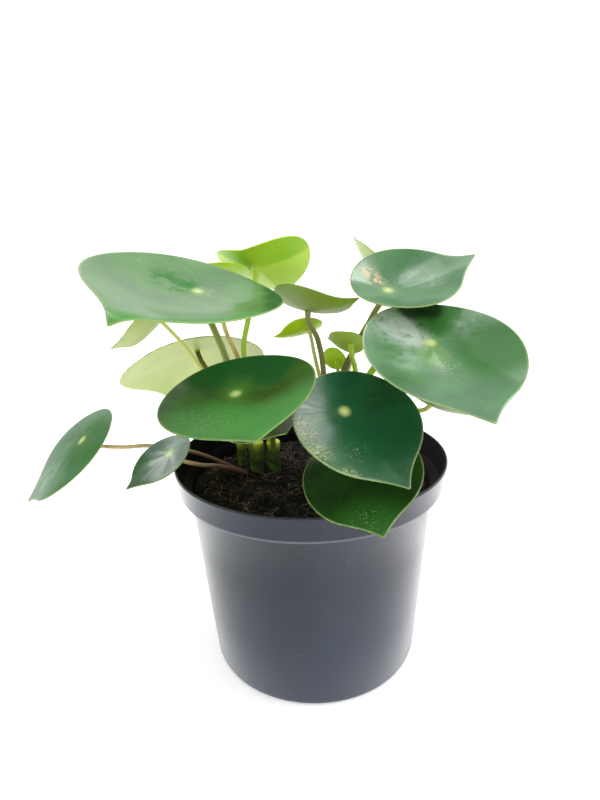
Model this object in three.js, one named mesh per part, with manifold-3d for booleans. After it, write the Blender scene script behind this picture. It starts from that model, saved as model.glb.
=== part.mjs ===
// A peltate-leaved house plant in a black nursery pot, in millimetres, +Z up.
// The origin is the centre of the pot's underside, and the plant's show side faces -Y.
// Each leaf blade is a thin solid of its own, and each stem is one solid with its petioles.

import * as THREE from 'three';
import { mergeVertices } from 'three/addons/utils/BufferGeometryUtils.js';
import Module from 'manifold-3d';

const wasm = await Module();
wasm.setup();

// ---- Driving dimensions ------------------------------------------------------------------

const GAP = 0.3; // clearance between pieces that touch

const POT_HEIGHT = 95.5;
const RIM_RADIUS = 60;
const COLLAR_HEIGHT = 11.5;
const COLLAR_FOOT_RADIUS = 58;
const BODY_TOP_RADIUS = 54;
const BASE_RADIUS = 47;
const BASE_ROUND = 3;
const POT_WALL = 1.4;
const FLOOR_THICKNESS = 2;
const LEDGE_THICKNESS = 1.4;
const POT_SEGMENTS = 48;
const DRAIN_HOLES = 6;
const DRAIN_RADIUS = 4.5;
const DRAIN_CIRCLE = 33;
const DRAIN_SIDES = 12;

const SOIL_TOP = 82;
const SOIL_SEGMENTS = 32;
const SOIL_RINGS = 6;
const SOIL_SLOPE = 0.012; // the soil falls away to the right and the back
const LUMP_HEIGHT = 0.7;
const CRUMB_HEIGHT = 0.4;
const ROOT_DEPTH = 20; // how far a stem goes down into the soil

const BLADE_SPOKES = 26;
const BLADE_RINGS = 3;
const BLADE_THICKNESS = 1.2;
const MARGIN_THICKNESS = 0.9;
const SPOT_PLACE = 0.3; // where the petiole meets the blade, from the base end to the tip
const DROP_REACH = 1.16; // how far the drop's point lies from the centre of its round end
const TIP_REACH = 0.16; // the drip tip beyond that point
const TIP_SPREAD = 0.16;
const SPOKE_CROWDING = 1.35; // spokes stand closer together near the tip
const CURL_START = 0.7; // where the tip starts to hook down

const STEM_SIDES = 9;
const PETIOLE_SIDES = 7;
const PETIOLE_STEPS = 9;
const PETIOLE_APPROACH = 4; // the petiole's last straight stretch

// ---- Colours -----------------------------------------------------------------------------

const POT_COLOUR = 0x2b2e35;
const SOIL_COLOUR = 0x231a14;
const STEM_COLOUR = 0x6f8a35;
const LEAF_COLOUR = 0x2f6b37;
const YOUNG_COLOUR = 0x9cc92f;
const PALE_COLOUR = 0x8fae4e;

// ---- Leaves: spot is where the petiole meets the blade -------------------------------------
// heading is the tip's direction in plan, dip how far it points down, roll the turn about the
// midrib, all in degrees. end and side are the rise of the blade at half its length and width.

const LEAVES = {
  leaf_upper_left: {
    spot: [-39, -30, 172], heading: 251, dip: 8, roll: -16,
    length: 79, width: 69, end: 6, side: 7, curl: 3, wave: 0.7,
  },
  leaf_right: {
    spot: [48, -20, 148], heading: 285, dip: 31, roll: 2,
    length: 72, width: 61, end: 6, side: 7, curl: 1, wave: 0.6,
  },
  leaf_upper_right: {
    spot: [34, 0, 166], heading: 15, dip: -1, roll: 24,
    length: 52, width: 45, end: 7.5, side: 6, curl: 1, wave: 0.4,
  },
  leaf_front_left: {
    spot: [-27, -34, 134], heading: 287, dip: 16, roll: 13,
    length: 67, width: 58, end: 8, side: 7, curl: 2, wave: 0.5,
  },
  leaf_front: {
    spot: [13, -40, 128], heading: 308, dip: 38, roll: 13,
    length: 55, width: 47, end: 4.5, side: 5, curl: 1, wave: 0.6,
  },
  leaf_under_front: {
    spot: [-20, -20, 120], heading: 298, dip: 4, roll: 17,
    length: 39, width: 34, end: 2, side: 1, curl: 0, wave: 0.3,
  },
  leaf_over_rim: {
    spot: [18, -43, 108], heading: 282, dip: 28, roll: 17,
    length: 51, width: 44, end: 4, side: 3.5, curl: 1, wave: 0.4,
  },
  leaf_far_left: {
    spot: [-96, -12, 109], heading: 186, dip: 37, roll: -14,
    length: 55, width: 47, end: -2.5, side: -0.5, curl: 0, wave: 0.5,
  },
  leaf_low_left: {
    spot: [-57, -22, 106], heading: 223, dip: 33, roll: 5,
    length: 32, width: 28, end: 2, side: 1.5, curl: 0, wave: 0.3,
  },
  leaf_back_left: {
    spot: [-53, 34, 137], heading: 121, dip: 30, roll: 4,
    length: 75, width: 72, end: -6.5, side: -7.5, curl: 0, wave: 0.6,
  },
  leaf_small_left: {
    spot: [-63, 5, 157], heading: 219, dip: 36, roll: 39,
    length: 33, width: 29, end: 2.5, side: 2, curl: 0, wave: 0.4,
  },
  leaf_crown: {
    spot: [-20, 10, 177], heading: 64, dip: 33, roll: -13,
    length: 45, width: 41, end: 1, side: 6, fold: 3.5, curl: 0, wave: 0.6,
  },
  leaf_behind: {
    spot: [-36, 12, 172], heading: 241, dip: -13, roll: 19,
    length: 36, width: 31, end: 1.5, side: 0, curl: 0, wave: 0.3,
  },
  leaf_centre: {
    spot: [1, 8, 158], heading: 307, dip: -3, roll: -21,
    length: 44, width: 39, end: 3.5, side: 6, curl: 0, wave: 0,
  },
  leaf_small_centre: {
    spot: [1, 18, 148], heading: 187, dip: 16, roll: 33,
    length: 23, width: 19, end: 1, side: 2, curl: 0, wave: 0.2,
  },
  leaf_small_right: {
    spot: [19, 2, 144.5], heading: 154, dip: 14, roll: 48,
    length: 18, width: 16, end: 3, side: 0.5, curl: 0, wave: 0.2,
  },
  leaf_bud: {
    spot: [14, 20, 133], heading: 150, dip: 17, roll: 70,
    length: 14, width: 12, end: 1, side: 1.5, curl: 0, wave: 0.2,
  },
  leaf_under_right: {
    spot: [54, 2, 116], heading: -4, dip: 28, roll: -20,
    length: 33, width: 28, end: 3, side: 1, curl: 0, wave: 0.3,
  },
  leaf_back_right: {
    spot: [35, 34, 170], heading: 139, dip: -24, roll: 42,
    length: 34, width: 30, end: 4.5, side: 1, curl: 0, wave: 0.3,
  },
};

// ---- Stems: a thick stem from the soil to its top, and a petiole to each of its leaves ------
// via is the petiole's route from inside the stem to near its leaf.

const STEMS = {
  stem_left: {
    foot: [-26, 14], top: [-25, 13, 97], radius: 3.4,
    petioles: {
      leaf_upper_left: {
        radius: 1.5, via: [[-26, 13, 90], [-31, 10, 115], [-35, 6, 137], [-39, -4, 156]],
      },
      leaf_front_left: { radius: 1.4, via: [[-26, 13, 92], [-37, -4, 113], [-37, -22, 125]] },
    },
  },
  stem_back: {
    foot: [-33, 21], top: [-33, 20, 95], radius: 2.4,
    petioles: {
      leaf_back_left: { radius: 1.2, via: [[-33, 20, 88], [-38, 18, 115], [-46, 20, 129]] },
      leaf_small_left: { radius: 0.9, via: [[-33, 20, 90], [-42, 13, 121], [-53, 9, 143]] },
    },
  },
  stem_middle: {
    foot: [-17, 14], top: [-17, 13, 97], radius: 3.2,
    petioles: {
      leaf_crown: {
        radius: 1.2, via: [[-17, 13, 90], [-23, 13, 117], [-28, 12, 139], [-25, 11, 155]],
      },
      leaf_behind: { radius: 1, via: [[-17, 13, 90], [-24, 13, 117], [-31, 11, 138], [-36, 9, 155]] },
      leaf_under_front: { radius: 1.1, via: [[-17, 13, 92], [-17, 2, 105], [-19, -10, 112]] },
    },
  },
  stem_right: {
    foot: [10, 13], top: [9, 14, 106], radius: 3.4,
    petioles: {
      leaf_centre: { radius: 1.2, via: [[9, 14, 98], [8, 14, 116], [5, 12, 144]] },
      leaf_small_centre: { radius: 0.9, via: [[9, 14, 98], [7, 16, 117], [3, 17, 138]] },
      leaf_upper_right: {
        radius: 1.3, via: [[9, 14, 98], [16, 14, 128], [26, 12, 148], [31, 7, 159]],
      },
      leaf_back_right: {
        radius: 1, via: [[9, 14, 98], [18, 15, 128], [24, 17, 144], [34, 22, 160]],
      },
      leaf_front: { radius: 1.4, via: [[9, 14, 95], [11, 0, 110], [12, -22, 119]] },
      leaf_over_rim: { radius: 1.3, via: [[10, 13, 88], [13, -4, 95], [18, -26, 100]] },
    },
  },
  stem_outer: {
    foot: [25, 17], top: [24, 15, 110], radius: 3,
    petioles: {
      leaf_right: { radius: 1.6, via: [[24, 15, 102], [26, 14, 121], [30, 11, 131], [39, -3, 139]] },
      leaf_small_right: { radius: 1.2, via: [[24, 15, 102], [22, 14, 120], [21, 9, 132]] },
      leaf_bud: { radius: 0.9, via: [[24, 15, 102], [18, 18, 118]] },
      leaf_under_right: { radius: 1.1, via: [[24, 15, 100], [33, 13, 110], [43, 8, 112]] },
    },
  },
  stem_runner: {
    foot: [-30, 9], top: [-31, 8, 84], radius: 1.3,
    petioles: {
      leaf_low_left: { radius: 0.9, via: [[-31, 8, 83], [-40, 0, 90], [-48, -13, 97]] },
      leaf_far_left: {
        radius: 0.9, via: [[-31, 8, 83], [-41, 5, 90], [-54, 0, 98], [-70, -5, 103], [-82, -8, 104]],
      },
    },
  },
};

// ---- Solids ------------------------------------------------------------------------------

function toManifold(geometry) {
  const bare = geometry.clone();
  bare.deleteAttribute('normal');
  bare.deleteAttribute('uv');
  const merged = mergeVertices(bare, 1e-4);
  return new wasm.Manifold(new wasm.Mesh({
    numProp: 3,
    vertProperties: new Float32Array(merged.attributes.position.array),
    triVerts: new Uint32Array(merged.index.array),
  }));
}

function toGeometry(manifold) {
  const mesh = manifold.getMesh();
  const geometry = new THREE.BufferGeometry();
  geometry.setAttribute('position', new THREE.BufferAttribute(mesh.vertProperties, 3));
  geometry.setIndex(new THREE.BufferAttribute(mesh.triVerts, 1));
  geometry.computeVertexNormals();
  return geometry;
}

function makeMesh(name, geometry, colour, roughness) {
  const material = new THREE.MeshStandardMaterial({ color: colour, roughness, metalness: 0 });
  const mesh = new THREE.Mesh(geometry, material);
  mesh.name = name;
  return mesh;
}

function lathe(points, segments) {
  const profile = points.map(([radius, height]) => new THREE.Vector2(radius, height));
  const geometry = new THREE.LatheGeometry(profile, segments);
  return geometry.rotateX(Math.PI / 2);
}

function vector([x, y, z]) {
  return new THREE.Vector3(x, y, z);
}

// A round tube along a smooth route, cut into straight steps.
function tube(points, radius, sides, steps) {
  const section = new THREE.Shape();
  for (let side = 0; side < sides; side += 1) {
    const angle = (2 * Math.PI * side) / sides;
    const corner = [radius * Math.cos(angle), radius * Math.sin(angle)];
    if (side === 0) section.moveTo(...corner);
    else section.lineTo(...corner);
  }
  const route = new THREE.CatmullRomCurve3(points, false, 'centripetal');
  return new THREE.ExtrudeGeometry(section, { steps, bevelEnabled: false, extrudePath: route });
}

// ---- Pot: a thin-walled cup with a stepped collar and drain holes ---------------------------

function bodyRadius(height) {
  const share = height / (POT_HEIGHT - COLLAR_HEIGHT);
  return BASE_RADIUS + (BODY_TOP_RADIUS - BASE_RADIUS) * share;
}

function makePot() {
  const collarFoot = POT_HEIGHT - COLLAR_HEIGHT;
  const ledgeTop = collarFoot + LEDGE_THICKNESS;
  const half = POT_WALL / 2;
  const round = BASE_ROUND * 0.3; // one flat facet stands for the rounded foot
  const profile = [
    [0, 0],
    [BASE_RADIUS - BASE_ROUND, 0],
    [BASE_RADIUS - round, round],
    [bodyRadius(BASE_ROUND), BASE_ROUND],
    [BODY_TOP_RADIUS, collarFoot],
    [COLLAR_FOOT_RADIUS, collarFoot],
    [RIM_RADIUS, POT_HEIGHT - half],
    [RIM_RADIUS - half, POT_HEIGHT],
    [RIM_RADIUS - POT_WALL, POT_HEIGHT - half],
    [COLLAR_FOOT_RADIUS - POT_WALL, ledgeTop],
    [BODY_TOP_RADIUS - POT_WALL, ledgeTop],
    [bodyRadius(FLOOR_THICKNESS + BASE_ROUND) - POT_WALL, FLOOR_THICKNESS + BASE_ROUND],
    [BASE_RADIUS - BASE_ROUND - POT_WALL, FLOOR_THICKNESS],
    [0, FLOOR_THICKNESS],
  ];
  let pot = toManifold(lathe(profile, POT_SEGMENTS));
  for (let hole = 0; hole < DRAIN_HOLES; hole += 1) {
    const angle = (2 * Math.PI * (hole + 0.5)) / DRAIN_HOLES;
    const drill = new THREE.CylinderGeometry(
      DRAIN_RADIUS, DRAIN_RADIUS, 4 * FLOOR_THICKNESS, DRAIN_SIDES,
    );
    drill.rotateX(Math.PI / 2);
    drill.translate(DRAIN_CIRCLE * Math.cos(angle), DRAIN_CIRCLE * Math.sin(angle), 0);
    pot = pot.subtract(toManifold(drill));
  }
  return makeMesh('pot', toGeometry(pot), POT_COLOUR, 0.45);
}

// ---- Soil: fills the pot to a low uneven top, with a plain hole for each stem ---------------

function soilHeight(x, y) {
  const lumps = LUMP_HEIGHT * Math.sin(0.13 * x + 1) * Math.cos(0.11 * y);
  const crumbs = CRUMB_HEIGHT * Math.sin(0.3 * x - 0.23 * y);
  return SOIL_TOP - SOIL_SLOPE * (x + y) + lumps + crumbs;
}

function stemPath(stem, clearance) {
  const [x, y] = stem.foot;
  const bottom = new THREE.Vector3(x, y, SOIL_TOP - ROOT_DEPTH - clearance);
  return [bottom, vector(stem.top)];
}

function makeSoil() {
  const floor = FLOOR_THICKNESS + GAP;
  const wallGap = POT_WALL + GAP;
  const footHeight = FLOOR_THICKNESS + BASE_ROUND;
  const topRadius = bodyRadius(SOIL_TOP) - wallGap - GAP;
  const profile = [
    [0, floor],
    [BASE_RADIUS - BASE_ROUND - wallGap, floor],
    [bodyRadius(footHeight) - wallGap - GAP, footHeight],
  ];
  for (let ring = SOIL_RINGS; ring >= 0; ring -= 1) {
    profile.push([(topRadius * ring) / SOIL_RINGS, SOIL_TOP]);
  }
  const geometry = lathe(profile, SOIL_SEGMENTS);
  const place = geometry.attributes.position;
  for (let i = 0; i < place.count; i += 1) {
    if (place.getZ(i) > SOIL_TOP - 1) place.setZ(i, soilHeight(place.getX(i), place.getY(i)));
  }
  let soil = toManifold(geometry);
  for (const stem of Object.values(STEMS)) {
    const holeRadius = (stem.radius + GAP) / Math.cos(Math.PI / STEM_SIDES);
    const hole = tube(stemPath(stem, GAP), holeRadius, STEM_SIDES, 2);
    soil = soil.subtract(toManifold(hole));
  }
  return makeMesh('soil', toGeometry(soil), SOIL_COLOUR, 0.95);
}

// ---- Leaf blades: a raindrop outline, dished, waved and drawn out to a drip tip -------------

const SHOULDER = Math.acos(1 / DROP_REACH); // where the round margin starts to run to the tip
const TIP_RADIUS = DROP_REACH + TIP_REACH;

function outlineRadius(angle) {
  const turn = Math.abs(angle);
  const drop = 1 / Math.cos(Math.max(0, SHOULDER - turn));
  return drop + TIP_REACH * Math.exp(-turn / TIP_SPREAD);
}

// A point of the blade's middle surface. share is 0 at the spot and 1 at the margin.
function bladePoint(leaf, share, angle) {
  const radius = outlineRadius(angle);
  const unit = leaf.length / (TIP_RADIUS + 1);
  const spotX = SPOT_PLACE * (TIP_RADIUS + 1) - 1;
  const along = share * (radius * Math.cos(angle) - spotX) * unit;
  const across = (share * radius * Math.sin(angle) * leaf.width) / 2;
  const dish = leaf.end * ((2 * along) / leaf.length) ** 2 + leaf.side * ((2 * across) / leaf.width) ** 2;
  const crease = (leaf.fold ?? 0) * Math.abs((2 * across) / leaf.width);
  const ripple = leaf.wave * share ** 3 * Math.sin(3 * angle + leaf.length);
  const tipPlace = along / ((TIP_RADIUS - spotX) * unit);
  const hook = leaf.curl * (Math.max(0, tipPlace - CURL_START) / (1 - CURL_START)) ** 2;
  return new THREE.Vector3(along, across, dish + crease + ripple - hook);
}

function makeBlade(leaf) {
  const net = new THREE.RingGeometry(0, 1, BLADE_SPOKES, BLADE_RINGS);
  net.deleteAttribute('normal');
  net.deleteAttribute('uv');
  const flat = mergeVertices(net, 1e-4);
  const place = flat.attributes.position;
  const count = place.count;
  const points = new Float32Array(6 * count);
  const rim = [];
  for (let i = 0; i < count; i += 1) {
    const share = Math.hypot(place.getX(i), place.getY(i));
    const turn = Math.atan2(place.getY(i), place.getX(i)) / Math.PI;
    const angle = Math.sign(turn) * Math.PI * Math.abs(turn) ** SPOKE_CROWDING;
    const middle = bladePoint(leaf, share, angle);
    const half = (BLADE_THICKNESS + (MARGIN_THICKNESS - BLADE_THICKNESS) * share) / 2;
    points.set([middle.x, middle.y, middle.z + half], 3 * i);
    points.set([middle.x, middle.y, middle.z - half], 3 * (count + i));
    if (share > 0.999) rim.push({ turn, i });
  }
  const faces = [];
  for (let f = 0; f < flat.index.count; f += 3) {
    const [a, b, c] = [0, 1, 2].map((corner) => flat.index.getX(f + corner));
    if (a === b || b === c || c === a) continue;
    faces.push(a, b, c, count + a, count + c, count + b);
  }
  rim.sort((p, q) => p.turn - q.turn);
  rim.forEach(({ i }, order) => {
    const next = rim[(order + 1) % rim.length].i;
    faces.push(next, i, count + i, next, count + i, count + next);
  });
  const geometry = new THREE.BufferGeometry();
  geometry.setAttribute('position', new THREE.BufferAttribute(points, 3));
  geometry.setIndex(faces);
  geometry.computeVertexNormals();
  return geometry;
}

function leafColour(name) {
  if (['leaf_crown', 'leaf_bud', 'leaf_small_centre'].includes(name)) return YOUNG_COLOUR;
  if (['leaf_back_left', 'leaf_small_left', 'leaf_back_right'].includes(name)) return PALE_COLOUR;
  return LEAF_COLOUR;
}

function makeLeaf(name, leaf) {
  const mesh = makeMesh(name, makeBlade(leaf), leafColour(name), 0.3);
  const radians = THREE.MathUtils.degToRad;
  mesh.position.set(...leaf.spot);
  mesh.rotation.set(radians(leaf.roll), radians(leaf.dip), radians(leaf.heading), 'ZYX');
  mesh.updateMatrix();
  return mesh;
}

// ---- Stems with their petioles --------------------------------------------------------------

// The petiole's last two points. It leans towards the blade's normal, and its end face stays
// clear of the blade by the gap.
function petioleEnd(from, radius, leafPlace) {
  const spot = new THREE.Vector3().setFromMatrixPosition(leafPlace);
  const normal = new THREE.Vector3(0, 0, 1).transformDirection(leafPlace);
  const lean = spot.clone().sub(from).normalize();
  const direction = normal.clone().add(lean).normalize();
  const tilt = Math.sqrt(Math.max(0, 1 - direction.dot(normal) ** 2));
  const depth = BLADE_THICKNESS / 2 + GAP + radius * tilt;
  const end = spot.addScaledVector(normal, -depth);
  const approach = end.clone().addScaledVector(direction, -PETIOLE_APPROACH);
  return [approach, end];
}

function makeStem(name, stem, leafMeshes) {
  let solid = toManifold(tube(stemPath(stem, 0), stem.radius, STEM_SIDES, 3));
  for (const [leafName, petiole] of Object.entries(stem.petioles)) {
    const route = petiole.via.map(vector);
    route.push(...petioleEnd(route.at(-1), petiole.radius, leafMeshes[leafName].matrix));
    const stalk = tube(route, petiole.radius, PETIOLE_SIDES, PETIOLE_STEPS);
    solid = solid.add(toManifold(stalk));
  }
  return makeMesh(name, toGeometry(solid), STEM_COLOUR, 0.4);
}

// ---- Assembly -------------------------------------------------------------------------------

const plant = new THREE.Group();
plant.add(makePot(), makeSoil());

const leafMeshes = {};
for (const [name, leaf] of Object.entries(LEAVES)) {
  leafMeshes[name] = makeLeaf(name, leaf);
  plant.add(leafMeshes[name]);
}
for (const [name, stem] of Object.entries(STEMS)) {
  plant.add(makeStem(name, stem, leafMeshes));
}

export default plant;
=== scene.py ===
# A house plant with raindrop leaves in a nursery pot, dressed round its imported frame.
# Metres, +Z up, the pot's underside at the origin and the plant's show side facing -Y.

import math
import random

import bmesh
import bpy
from mathutils import Matrix, Vector, kdtree, noise
from mathutils.geometry import interpolate_bezier


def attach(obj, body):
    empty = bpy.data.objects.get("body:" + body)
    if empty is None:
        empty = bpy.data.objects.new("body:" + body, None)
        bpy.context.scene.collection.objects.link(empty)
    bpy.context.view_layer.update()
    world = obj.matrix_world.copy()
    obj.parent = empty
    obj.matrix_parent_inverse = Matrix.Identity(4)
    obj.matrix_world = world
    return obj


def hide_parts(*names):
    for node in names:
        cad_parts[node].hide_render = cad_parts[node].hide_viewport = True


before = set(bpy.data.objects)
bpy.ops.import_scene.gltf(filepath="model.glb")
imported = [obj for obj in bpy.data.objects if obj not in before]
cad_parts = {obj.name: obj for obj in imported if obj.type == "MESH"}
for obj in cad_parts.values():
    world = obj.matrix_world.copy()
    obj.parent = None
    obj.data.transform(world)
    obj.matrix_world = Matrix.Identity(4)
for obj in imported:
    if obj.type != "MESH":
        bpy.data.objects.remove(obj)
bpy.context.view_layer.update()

MM = 0.001
CENTIMETRE = 10  # millimetres

# ---- Pot and soil, as the frame holds them, in millimetres ----

POT_HEIGHT = 95.5
RIM_RADIUS = 60
COLLAR_FOOT = 84
COLLAR_FOOT_RADIUS = 58
BODY_TOP_RADIUS = 54
BASE_RADIUS = 47
BASE_ROUND = 3
POT_WALL = 1.4
POT_FLOOR = 2
DRAIN_HOLES = 6
DRAIN_RADIUS = 4.5
DRAIN_CIRCLE = 33
SOIL_TOP = 82
SOIL_SLOPE = 0.012
SOIL_GAP = 0.7  # between the soil and the pot's wall
SOIL_FOOT = 2.3
LUMP_HEIGHT = 0.7
LUMP_WAVES = (0.13, 0.11)  # radians for a millimetre of X and of Y
LUMP_SHIFT = 1
CRUMB_HEIGHT = 0.4
CRUMB_WAVES = (0.3, 0.23)

# ---- Leaves and stems, as the frame holds them ----
# spot is where the petiole meets the blade. heading is the tip's direction in plan, dip how far
# it points down and roll the turn about the midrib, in degrees. end and side are the rise of the
# blade at half its length and width, and fold is a rise at half its width that starts at the
# midrib. curl and hook are how far the tip bends down, and wave how much the margin ripples. They
# are millimetres, and taper is the share that one side loses towards the tip.

LEAVES = {
    "leaf_upper_left": dict(
        spot=(-39, -30, 172), heading=251, dip=8, roll=-16,
        length=79, width=69, end=6, side=7, curl=3, wave=0.7, hook=3),
    "leaf_right": dict(
        spot=(48, -20, 148), heading=285, dip=31, roll=2,
        length=72, width=61, end=6, side=7, curl=1, wave=0.6),
    "leaf_upper_right": dict(
        spot=(34, 0, 166), heading=15, dip=-1, roll=24,
        length=52, width=45, end=7.5, side=6, curl=1, wave=0.4),
    "leaf_front_left": dict(
        spot=(-27, -34, 134), heading=287, dip=16, roll=13,
        length=67, width=58, end=8, side=7, curl=2, wave=0.5),
    "leaf_front": dict(
        spot=(13, -40, 128), heading=308, dip=38, roll=13,
        length=55, width=47, end=4.5, side=5, curl=1, wave=0.6),
    "leaf_under_front": dict(
        spot=(-20, -20, 120), heading=298, dip=4, roll=17,
        length=39, width=34, end=2, side=1, wave=0.3),
    "leaf_over_rim": dict(
        spot=(18, -43, 108), heading=282, dip=28, roll=17,
        length=51, width=44, end=4, side=3.5, curl=1, wave=0.4),
    "leaf_far_left": dict(
        spot=(-96, -12, 109), heading=186, dip=37, roll=-14,
        length=55, width=47, end=-2.5, side=-0.5, wave=0.5),
    "leaf_low_left": dict(
        spot=(-57, -22, 106), heading=223, dip=33, roll=5,
        length=32, width=28, end=2, side=1.5, wave=0.3),
    "leaf_back_left": dict(
        spot=(-53, 34, 137), heading=121, dip=30, roll=4,
        length=75, width=72, end=-6.5, side=-7.5, wave=0.6),
    "leaf_small_left": dict(
        spot=(-63, 5, 157), heading=219, dip=36, roll=39,
        length=33, width=29, end=2.5, side=2, wave=0.4),
    "leaf_crown": dict(
        spot=(-20, 10, 177), heading=64, dip=33, roll=-13,
        length=45, width=41, end=1, side=6, fold=3.5, wave=0.6),
    "leaf_behind": dict(
        spot=(-36, 12, 172), heading=241, dip=-13, roll=19,
        length=36, width=31, end=1.5, side=0, wave=0.3),
    "leaf_centre": dict(
        spot=(1, 8, 158), heading=307, dip=-3, roll=-21,
        length=44, width=39, end=3.5, side=6, wave=0, taper=0.6),
    "leaf_small_centre": dict(
        spot=(1, 18, 148), heading=187, dip=16, roll=33,
        length=23, width=19, end=1, side=2, wave=0.2),
    "leaf_small_right": dict(
        spot=(19, 2, 144.5), heading=154, dip=14, roll=48,
        length=18, width=16, end=3, side=0.5, wave=0.2),
    "leaf_bud": dict(
        spot=(14, 20, 133), heading=150, dip=17, roll=70,
        length=14, width=12, end=1, side=1.5, wave=0.2),
    "leaf_under_right": dict(
        spot=(54, 2, 116), heading=-4, dip=28, roll=-20,
        length=33, width=28, end=3, side=1, wave=0.3),
    "leaf_back_right": dict(
        spot=(35, 34, 170), heading=139, dip=-24, roll=42,
        length=34, width=30, end=4.5, side=1, wave=0.3),
}

# A stem's foot and top, its radius, and the radius and route of the petiole to each leaf, in
# millimetres. ends are the petiole's colours at its foot, at its leaf and, where another one
# follows there, at its very tip.
STEMS = {
    "stem_left": dict(foot=(-26, 14), top=(-25, 13, 97), radius=3.4, petioles={
        "leaf_upper_left": dict(radius=1.5, ends=("olive", "olive"), via=[
            (-26, 13, 90), (-31, 10, 115), (-35, 6, 137), (-39, -4, 156)]),
        "leaf_front_left": dict(radius=1.4, ends=("olive", "lime"), via=[
            (-26, 13, 92), (-37, -4, 113), (-37, -22, 125)]),
    }),
    "stem_back": dict(foot=(-33, 21), top=(-33, 20, 95), radius=2.4, petioles={
        "leaf_back_left": dict(radius=1.2, ends=("rust", "moss", "lime"), via=[
            (-33, 20, 88), (-38, 18, 115), (-46, 20, 129)]),
        "leaf_small_left": dict(radius=0.9, ends=("straw", "straw"), via=[
            (-33, 20, 90), (-42, 13, 121), (-53, 9, 143)]),
    }),
    "stem_middle": dict(foot=(-17, 14), top=(-17, 13, 97), radius=3.2, petioles={
        "leaf_crown": dict(radius=1.2, ends=("lime", "lime"), via=[
            (-17, 13, 90), (-23, 13, 117), (-28, 12, 139), (-25, 11, 155)]),
        "leaf_behind": dict(radius=1, ends=("blush", "straw"), via=[
            (-17, 13, 90), (-24, 13, 117), (-31, 11, 138), (-36, 9, 155)]),
        "leaf_under_front": dict(radius=1.1, ends=("olive", "olive"), via=[
            (-17, 13, 92), (-17, 2, 105), (-19, -10, 112)]),
    }),
    "stem_right": dict(foot=(10, 13), top=(9, 14, 106), radius=3.4, petioles={
        "leaf_centre": dict(radius=1.2, ends=("bronze", "fern"), via=[
            (9, 14, 98), (8, 14, 116), (5, 12, 144)]),
        "leaf_small_centre": dict(radius=0.9, ends=("straw", "straw"), via=[
            (9, 14, 98), (7, 16, 117), (3, 17, 138)]),
        "leaf_upper_right": dict(radius=1.3, ends=("bronze", "fern"), via=[
            (9, 14, 98), (16, 14, 128), (26, 12, 148), (31, 7, 159)]),
        "leaf_back_right": dict(radius=1, ends=("straw", "straw"), via=[
            (9, 14, 98), (18, 15, 128), (24, 17, 144), (34, 22, 160)]),
        "leaf_front": dict(radius=1.4, ends=("olive", "lime"), via=[
            (9, 14, 95), (11, 0, 110), (12, -22, 119)]),
        "leaf_over_rim": dict(radius=1.3, ends=("olive", "olive"), via=[
            (10, 13, 88), (13, -4, 95), (18, -26, 100)]),
    }),
    "stem_outer": dict(foot=(25, 17), top=(24, 15, 110), radius=3, petioles={
        "leaf_right": dict(radius=1.6, ends=("lime", "lime"), via=[
            (24, 15, 102), (26, 14, 121), (30, 11, 131), (39, -3, 139)]),
        "leaf_small_right": dict(radius=1.2, ends=("lime", "lime"), via=[
            (24, 15, 102), (22, 14, 120), (21, 9, 132)]),
        "leaf_bud": dict(radius=0.9, ends=("lime", "lime"), via=[
            (24, 15, 102), (18, 18, 118)]),
        "leaf_under_right": dict(radius=1.1, ends=("olive", "straw"), via=[
            (24, 15, 100), (33, 13, 110), (43, 8, 112)]),
    }),
    "stem_runner": dict(foot=(-30, 9), top=(-31, 8, 84), radius=1.3, petioles={
        "leaf_low_left": dict(radius=0.9, ends=("cocoa", "tan"), via=[
            (-31, 8, 83), (-40, 0, 90), (-48, -13, 97)]),
        "leaf_far_left": dict(radius=0.9, ends=("cocoa", "tan"), via=[
            (-31, 8, 83), (-41, 5, 90), (-54, 0, 98), (-70, -5, 103), (-82, -8, 104)]),
    }),
}


# ---- Camera, in metres ----

CAMERA_PLACE = (0, -0.2483, 0.1998)
CAMERA_PITCH = 17.75  # degrees below the horizon
CAMERA_YAW = 0.84  # degrees to the left
CAMERA_ROLL = -1.99  # degrees about the line of sight
CAMERA_LENS = 27  # on a 36 mm sensor whose long side is the picture's height


def add_camera():
    turn = Matrix.Rotation(math.radians(CAMERA_YAW), 4, "Z")
    turn @= Matrix.Rotation(math.radians(90 - CAMERA_PITCH), 4, "X")
    turn @= Matrix.Rotation(math.radians(CAMERA_ROLL), 4, "Z")
    data = bpy.data.cameras.new("camera")
    data.lens = CAMERA_LENS
    camera = bpy.data.objects.new("camera", data)
    camera.matrix_world = Matrix.Translation(CAMERA_PLACE) @ turn
    bpy.context.scene.collection.objects.link(camera)
    bpy.context.scene.camera = camera


# ---- Shader values ----


class Value:
    """A shader socket. Python's operators on it add Math nodes."""

    def __init__(self, finish, socket):
        self.finish = finish
        self.socket = socket

    def math(self, operation, *inputs):
        return self.finish.node("ShaderNodeMath", {"operation": operation}, dict(enumerate(inputs)))

    def __add__(self, other):
        return self.math("ADD", self, other)

    def __sub__(self, other):
        return self.math("SUBTRACT", self, other)

    def __rsub__(self, other):
        return self.math("SUBTRACT", other, self)

    def __mul__(self, other):
        return self.math("MULTIPLY", self, other)

    def __pow__(self, other):
        return self.math("POWER", self, other)

    def __abs__(self):
        return self.math("ABSOLUTE", self)

    def sine(self):
        return self.math("SINE", self)

    def ramp(self, low, high):
        """0 at low and 1 at high, with a smooth step between them."""
        settings = {"interpolation_type": "SMOOTHSTEP"}
        return self.finish.node("ShaderNodeMapRange", settings, {0: self, 1: low, 2: high})

    __radd__ = __add__
    __rmul__ = __mul__


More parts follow.
